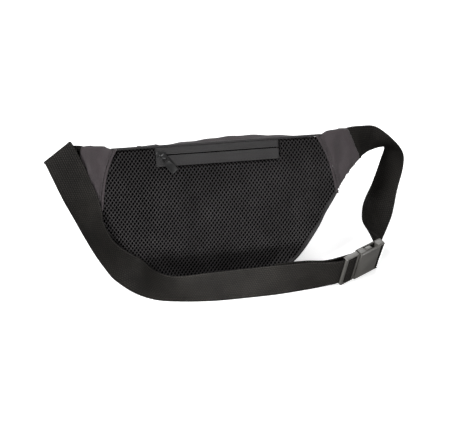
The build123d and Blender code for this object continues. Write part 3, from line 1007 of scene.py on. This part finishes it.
def inner_lining():
    """The loose lining of the main compartment."""
    back = smile(PANEL, -4.2)
    front = smile(FRONT, -4.2)
    back_lengths = run_lengths(back)
    front_lengths = run_lengths(front)
    start = BACK_DEPTH + 8.5
    end = FRONT_DEPTH - 1.0

    def wall(u, v):
        a = point_along(back, back_lengths, u)
        b = point_along(front, front_lengths, u)
        depth = spread(start, end, v)
        middle = a.lerp(b, (depth - BACK_DEPTH) / (FRONT_DEPTH - BACK_DEPTH))
        ripple = 1.2 * noise.noise(Vector((u * 20, v * 5, 3.3))) * sin(pi * v) - 0.8 * sin(pi * v)
        away = Vector((middle.x, middle.y - 95)).normalized()
        spot = middle + away * ripple
        return upright(spot.x, depth, spot.y)

    def panel(share, depth):
        rim = {}
        for side in (-1, 1):
            pairs = zip(side_edge(PANEL, side, -4.2), side_edge(FRONT, side, -4.2))
            rim[side] = [p.lerp(q, share) for p, q in pairs]

        def place(u, v):
            height = spread(rim[1][-1].y, rim[1][0].y, v)
            x = across_at(rim, u, height)
            inward = 1 if depth < 40 else -1
            calm = min(1.0, 6 * min(u, 1 - u), 6 * min(v, 1 - v))
            wave = 1.5 + 1.2 * noise.noise(Vector((x * 0.04, depth, height * 0.04)))
            return upright(x, depth + inward * wave * calm, height)

        return place

    mesh = bmesh.new()
    grid_on(mesh, 90, 12, wall, 0.38, 0.06)
    grid_on(mesh, 40, 24, panel((start - BACK_DEPTH) / (FRONT_DEPTH - BACK_DEPTH), start), 0.2, 0.14)
    grid_on(mesh, 40, 24, panel(1.0, end), 0.2, 0.1)
    thicken(mesh, 0.0004)
    piece = link_mesh("inner_lining", mesh, [lining_cloth], "bag")
    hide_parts("main_lining")
    return piece


def inner_pouch():
    """The flat pouch behind the rear zip."""
    out = (upright(0, -1, 0) - upright(0, 0, 0)).normalized()

    def middle(u, v):
        return upright(spread(-69, 69, u), BACK_DEPTH + 3.6, spread(59, 151, v)), out

    def swell(u, v):
        rim = min(1.0, 7 * min(u, 1 - u), 7 * min(v, 1 - v))
        wave = 0.35 * noise.noise(Vector((u * 9, v * 6, 1.1)))
        return (2.7 + wave) * MM * sqrt(max(rim, 0.0))

    piece = link_mesh("inner_pouch", cushion(40, 26, middle, swell), [lining_cloth], "bag")
    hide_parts("rear_pocket_pouch")
    return piece


def pocket_half(height):
    """Half the front pocket's width at a height."""
    if height >= POCKET_SHOULDER:
        return POCKET_HALF
    side = [Vector(p) for p in ((POCKET_HALF, POCKET_SHOULDER), (44.6, 62), (0, POCKET_LOW))]
    curve = through(side, 10)
    for above, below in zip(curve, curve[1:]):
        if below.y <= height <= above.y:
            return spread(below.x, above.x, (height - below.y) / max(above.y - below.y, 1e-9))
    return 4.0


def outer_pocket():
    """The front pocket: a soft shell with rounded edges, cut open for its zip."""
    start = POCKET_FACE - POCKET_DEPTH

    def place(u, v):
        height = spread(POCKET_LOW + 0.6, POCKET_TOP, v)
        half = pocket_half(height)
        x = (2 * u - 1) * half
        near_side = half - abs(x)
        near_edge = min(near_side, POCKET_TOP - height, (height - POCKET_LOW) * 1.5)
        rise = sqrt(1 - (1 - min(1.0, max(0.0, near_edge) / 7.0)) ** 2)
        crease = noise.noise(Vector((x * 0.05, 5.0, height * 0.07)))
        calm = smooth_step((abs(height - POCKET_ZIP_HEIGHT) - 7) / 6)
        return upright(x, start + (POCKET_DEPTH - 0.8) * rise + 1.6 * crease * calm * rise, height)

    mesh = bmesh.new()
    made, faces = grid_on(mesh, 96, 60, place, 0.144, 0.06)
    cut = []
    middle = upright(0, 0, 0)
    for face in faces:
        spot = face.calc_center_median() - middle
        height = (spot.z * cos(LEAN) + spot.y * sin(LEAN)) / MM
        x = spot.x / MM
        if abs(x) < POCKET_SLOT[0] and abs(height - POCKET_ZIP_HEIGHT) < POCKET_SLOT[1]:
            cut.append(face)
    bmesh.ops.delete(mesh, geom=cut, context="FACES")
    thicken(mesh, -0.0012)
    piece = link_mesh("outer_pocket", mesh, [shell_cloth], "bag")
    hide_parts("front_pocket")
    return piece


# ---- zips ----------------------------------------------------------------------------------
ZIPS = {
    "rear": (rear_zip, REAR_ZIP_HALF, 12.4, 8.5, strip_cloth),
    "main": (main_zip, MAIN_ZIP_HALF, 8.0, 8.0, tape_cloth),
    "pocket": (pocket_zip, POCKET_ZIP_HALF, 7.0, 7.0, tape_cloth),
}


def zip_tape(name, zip_place, half, start, end, material):
    """One side of a zip: a flat strip with a rolled edge at the closing line."""
    low, high = min(start, end), max(start, end)
    inner = start

    def place(u, v):
        across = spread(low, high, u)
        along = spread(-half, half, v)
        roll = 0.45 * exp(-((across - inner) / 1.3) ** 2)
        soft = 0.16 * noise.noise(Vector((along * 0.08, across * 0.2, 2.2)))
        return zip_place(along, across, -0.35 + roll + soft)

    mesh = bmesh.new()
    grid_on(mesh, 16, 70, place, (high - low) * MM, 2 * half * MM)
    thicken(mesh, 0.0007)
    piece = link_mesh(name, mesh, [material], "bag")
    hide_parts(name)
    piece.name = f"{name}_cloth"
    return piece


def zip_coils(name, zip_place, half):
    """The two rows of nylon coil, hooked into each other."""
    mesh = bmesh.new()
    count = int((2 * half - 6) / 1.7)
    for side in (-1, 1):
        for index in range(count):
            along = spread(-half + 3, half - 3, (index + (0.5 if side > 0 else 0.0)) / count)
            for lift in (-1.6, -2.5):
                start = zip_place(along, side * 0.3, lift)
                end = zip_place(along + 0.3, side * 2.1, lift)
                bar(mesh, start, end, 0.38 * MM, sides=5)
    piece = link_mesh(f"{name}_coil_rows", mesh, [coil_nylon], "bag")
    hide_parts(f"{name}_zip_coils")
    return piece


def make_zip(name):
    zip_place, half, lower, upper, material = ZIPS[name]
    zip_tape(f"{name}_zip_tape_lower", zip_place, half, -0.6, -lower, material)
    zip_tape(f"{name}_zip_tape_upper", zip_place, half, 0.6, upper, material)
    zip_coils(name, zip_place, half)
    for node, piece, width, body, material in (
        ("stops", "end_stops", 0.25, "bag", slider_metal),
        ("slider", "slider_body", 0.3, f"{name}_slider", slider_metal),
        ("pull", "pull_loop", 0.35, f"{name}_pull", pull_rubber),
    ):
        rounded_copy(f"{name}_zip_{node}", f"{name}_{piece}", width, body, material)


def zip_stitches():
    """Rows of stitching beside the three zips."""
    for name, rows in (("rear", (-11.0,)), ("main", (-10.5, 10.5)), ("pocket", (-8.6, 8.6))):
        zip_place, half = ZIPS[name][:2]
        mesh = bmesh.new()
        for across in rows:
            reach = half - 1.5 if name == "rear" else half + 4
            row = [zip_place(spread(-reach, reach, k / 12), across, 0.75) for k in range(13)]
            stitch_row(mesh, row)
        link_mesh(f"{name}_zip_stitches", mesh, [sewing_thread], "bag")


# ---- belt ----------------------------------------------------------------------------------
WEB_LOW = (BUCKLE_HEIGHT - WEB_WIDTH) / 2
WEB_HIGH = WEB_LOW + WEB_WIDTH
LADDER = [
    (13.2, -3.6), (14.7, -2.6), (15.0, -0.6), (14.8, 1.4), (13.8, 2.8), (8.2, 2.9),
    (7.0, 2.1), (5.4, 0.3), (3.8, -0.7), (0.0, -0.8), (-5.0, -1.2),
]
TAIL = [
    ((52, -21.0, 1.0), (52, -16.0, 38.3)),
    ((84, -16.8, 1.1), (84, -15.4, 38.6)),
    ((107, -13.8, 1.8), (109, -18.4, 39.2)),
]
BELT_FRONT = [
    ((105, -17.2, 1.2), (107, -21.8, 38.8)),
    ((88, -19.6, 0.6), (88, -18.8, 38.3)),
    ((53, -23.6, 0.5), (53, -18.8, 38.1)),
    ((16, -25.2, 0.5), (16, -20.2, 38.2)),
    ((-21, -25.3, 0.5), (-21, -22.3, 38.4)),
    ((-57, -21.0, 0.5), (-57.5, -24.0, 38.4)),
    ((-81, -15.0, 0.6), (-78, -12.4, 38.4)),
    ((-102, -2.7, 2.0), (-89, 8.8, 35.9)),
    ((-121, 8, 12), (-95, 13, 39.4)),
    ((-129, 13.6, 19.6), (-103.4, 9.8, 47.7)),
    ((-141.6, 27.5, 35), (-121, 13.5, 64)),
    ((-152.7, 42.5, 51), (-130.2, 29.1, 78.5)),
    ((-158, 49.6, 59.3), (-130.5, 38.5, 83)),
    ((-163, 53.6, 69.8), (-132, 45.5, 90)),
    ((-168, 55.5, 81.5), (-135, 50, 100.5)),
    ((-172.5, 57.4, 92.4), (-139, 56.5, 110.5)),
    ((-181, 65.5, 113), (-147.5, 67.5, 131.5)),
    ((-187.5, 74, 127.5), (-157, 80, 149)),
    ((-189.5, 79, 128), (-159.5, 85.5, 148.0)),
    ((-186.5, 80.5, 123), (-157.5, 87, 143.0)),
]
WING_LEFT = [
    ((-160.8, 68.6, 111), (-147.2, 86.2, 141.8)),
    ((-147.0, 65.7, 106.4), (-133.4, 83.3, 137.1)),
]
WING_RIGHT = [
    ((147.0, 65.7, 106.4), (133.4, 83.3, 137.1)),
    ((160.8, 68.6, 111), (147.2, 86.2, 141.8)),
]
BELT_SIDE = [
    ((164, 84, 101), (165, 97, 136)),
    ((172, 101, 94), (185, 105, 129)),
    ((185, 118, 89), (203, 98.5, 116.5)),
    ((204, 127, 87), (216.5, 93.5, 99)),
    ((199, 120, 72), (217.5, 88, 82)),
    ((188, 107, 50.5), (210, 77.5, 57)),
    ((177, 93, 38.5), (204.5, 68.5, 31.5)),
    ((168.5, 72, 38.5), (197.5, 60.5, 17.5)),
    ((164.0, 50, 38), (188, 46.5, 9)),
    ((166.0, 32, 39.3), (181, 31, 5.6)),
    ((172.0, 18, 40.3), (177.5, 21, 4.2)),
]
BAR_LOOP = [
    (56.4, 1.4), (55.4, 2.5), (53.7, 3.0), (52.0, 2.2),
    (51.2, 0.6), (51.3, -1.2), (52.2, -3.4), (54.0, -7.0),
]


def buckle_rulings(points, flip=False):
    rows = [(on_buckle(u, n, WEB_LOW), on_buckle(u, n, WEB_HIGH)) for u, n in points]
    return [(b, a) for a, b in rows] if flip else rows


def web_profile():
    """Round the webbing's section: (place across it, place through it), both from -1 to 1."""
    flat = 18
    top = [(spread(-0.97, 0.97, k / flat), 1.0) for k in range(flat + 1)]
    under = [(-x, -y) for x, y in top]
    return top + [(1.0, 0.0)] + under + [(-1.0, 0.0)]


def webbing(name, rulings, node, body):
    """A strap: its two edges follow the rulings, and its section is rounded at the selvedges."""
    steps = 5
    low = through([standing(*a) for a, b in rulings], steps)
    high = through([standing(*b) for a, b in rulings], steps)
    middles = [(a + b) / 2 for a, b in zip(low, high)]
    lengths = run_lengths(middles)
    profile = web_profile()
    count = len(profile)
    last = len(middles) - 1
    mesh = bmesh.new()
    uv = mesh.loops.layers.uv.verify()

    def place(u, v):
        index = round(v * last)
        across_share, through_share = profile[round(u * count) % count]
        run = middles[min(index + 1, last)] - middles[max(index - 1, 0)]
        across = (high[index] - low[index]).normalized()
        side = run.cross(across).normalized()
        ridge = 0.12 * exp(-(((1 - abs(across_share)) * 19 - 2.2) / 0.9) ** 2)
        thick = (WEB_THICK / 2 + ridge) * through_share * MM
        half = (high[index] - low[index]).length / 2
        return middles[index] + across * across_share * half + side * thick

    made, faces = grid_on(mesh, count, last, place)
    for face in faces:
        for loop in face.loops:
            u, v = loop[uv].uv
            index = min(last, round(v * last))
            corner = round(u * count)
            share = profile[corner % count][0]
            loop[uv].uv = (share * WEB_WIDTH / 2 * MM, lengths[index])
    bmesh.ops.remove_doubles(mesh, verts=mesh.verts, dist=0.000002)
    rims = [e for e in mesh.edges if e.is_boundary]
    bmesh.ops.holes_fill(mesh, edges=rims, sides=count + 1)
    face_outwards(mesh)
    piece = link_mesh(name, mesh, [nylon_webbing], body)
    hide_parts(node)
    return piece


def make_belts():
    left = webbing(
        "left_webbing", TAIL + buckle_rulings(LADDER) + BELT_FRONT + WING_LEFT, "belt_left", None
    )
    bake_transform(left)
    webbing("right_webbing", WING_RIGHT + BELT_SIDE + buckle_rulings(BAR_LOOP, True), "belt_right", "bag")


# ---- buckle --------------------------------------------------------------------------------
def make_buckle():
    for node, piece, width, body in (
        ("buckle_plug", "plug_frame", 0.7, "plug"),
        ("buckle_socket", "socket_shell", 0.8, "bag"),
        ("buckle_prong_lower", "lower_button", 0.7, "prong_lower"),
        ("buckle_prong_upper", "upper_button", 0.7, "prong_upper"),
    ):
        rounded_copy(node, piece, width, body, buckle_acetal, 3)


# ---- studio --------------------------------------------------------------------------------
def white_to_view(tree, output, soft, bright):
    """Light the object with one shader, and show the other one to the view alone."""
    seen = add(tree, "ShaderNodeLightPath")
    mix = add(tree, "ShaderNodeMixShader")
    tree.links.new(seen.outputs["Is Camera Ray"], mix.inputs[0])
    tree.links.new(soft, mix.inputs[1])
    tree.links.new(bright, mix.inputs[2])
    tree.links.new(mix.outputs[0], output)


def floor_material():
    """Plain pale card: it throws back some light, and shows nearly white with faint contact shadow."""
    material, tree, shader = plain_start("studio_floor", 0.9, 0.1)
    shader.inputs["Base Color"].default_value = (0.8, 0.8, 0.8, 1)
    shader.inputs["Emission Color"].default_value = (1, 1, 1, 1)
    shader.inputs["Emission Strength"].default_value = 0.62
    dull = add(tree, "ShaderNodeBsdfDiffuse")
    dull.inputs["Color"].default_value = (0.15, 0.15, 0.15, 1)
    white_to_view(tree, tree.nodes["Material Output"].inputs["Surface"], dull.outputs[0], shader.outputs[0])
    return material


def make_floor():
    mesh = bmesh.new()
    bmesh.ops.create_grid(mesh, x_segments=4, y_segments=4, size=6.0)
    data = bpy.data.meshes.new("floor")
    mesh.to_mesh(data)
    mesh.free()
    data.materials.append(floor_material())
    floor_piece = bpy.data.objects.new("floor", data)
    scene.collection.objects.link(floor_piece)


def soft_light(name, place, aim, size, power):
    lamp = bpy.data.lights.new(name, "AREA")
    lamp.shape = "SQUARE"
    lamp.size = size
    lamp.energy = power
    thing = bpy.data.objects.new(name, lamp)
    thing.location = place
    thing.rotation_euler = (Vector(aim) - Vector(place)).to_track_quat("-Z", "Y").to_euler()
    thing.visible_camera = False
    scene.collection.objects.link(thing)


def make_lights():
    soft_light("key", (-0.9, -0.5, 1.2), (0, 0, 0.08), 0.5, 28)
    soft_light("right", (0.95, -0.8, 0.25), (0.18, 0.0, 0.05), 0.3, 8)
    soft_light("low_card", (-0.02, -0.25, 0.05), (-0.01, -0.08, 0.015), 0.06, 0.6)
    soft_light("back_top", (0.45, 0.8, 1.1), (0.05, 0, 0.08), 0.6, 12)
    world = bpy.data.worlds.new("studio")
    world.use_nodes = True
    tree = world.node_tree
    soft = tree.nodes["Background"]
    soft.inputs["Color"].default_value = (1, 1, 1, 1)
    soft.inputs["Strength"].default_value = 0.05
    bright = add(tree, "ShaderNodeBackground")
    bright.inputs["Strength"].default_value = 1.0
    bright.inputs["Color"].default_value = (1, 1, 1, 1)
    white_to_view(tree, tree.nodes["World Output"].inputs["Surface"], soft.outputs[0], bright.outputs[0])
    scene.world = world


def make_camera():
    turn = radians(-7.5)
    rise = radians(36.0)
    away = Vector((sin(turn) * cos(rise), -cos(turn) * cos(rise), sin(rise)))
    lens = bpy.data.cameras.new("view")
    lens.lens = 93.6
    lens.sensor_width = 36.0
    lens.shift_x = 0.0078
    lens.shift_y = 0.0167
    lens.clip_start = 0.01
    camera = bpy.data.objects.new("view", lens)
    camera.location = Vector((-0.0145, -0.0167, 0.060)) + away * 1.3
    camera.rotation_euler = away.to_track_quat("Z", "Y").to_euler()
    scene.collection.objects.link(camera)
    scene.camera = camera


scene.view_settings.view_transform = "Standard"
make_camera()
make_lights()
make_floor()

mesh_face = air_mesh()
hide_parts("back_mesh_panel")
mesh_underside()
back_padding()
edge_tape()
for wing_side in (-1, 1):
    soft_wing(wing_side)
    wing_seam(wing_side)
body_side()
body_front()
front_piping()
body_top()
inner_lining()
inner_pouch()
outer_pocket()
for zip_name in ZIPS:
    make_zip(zip_name)
zip_stitches()
make_belts()
make_buckle()
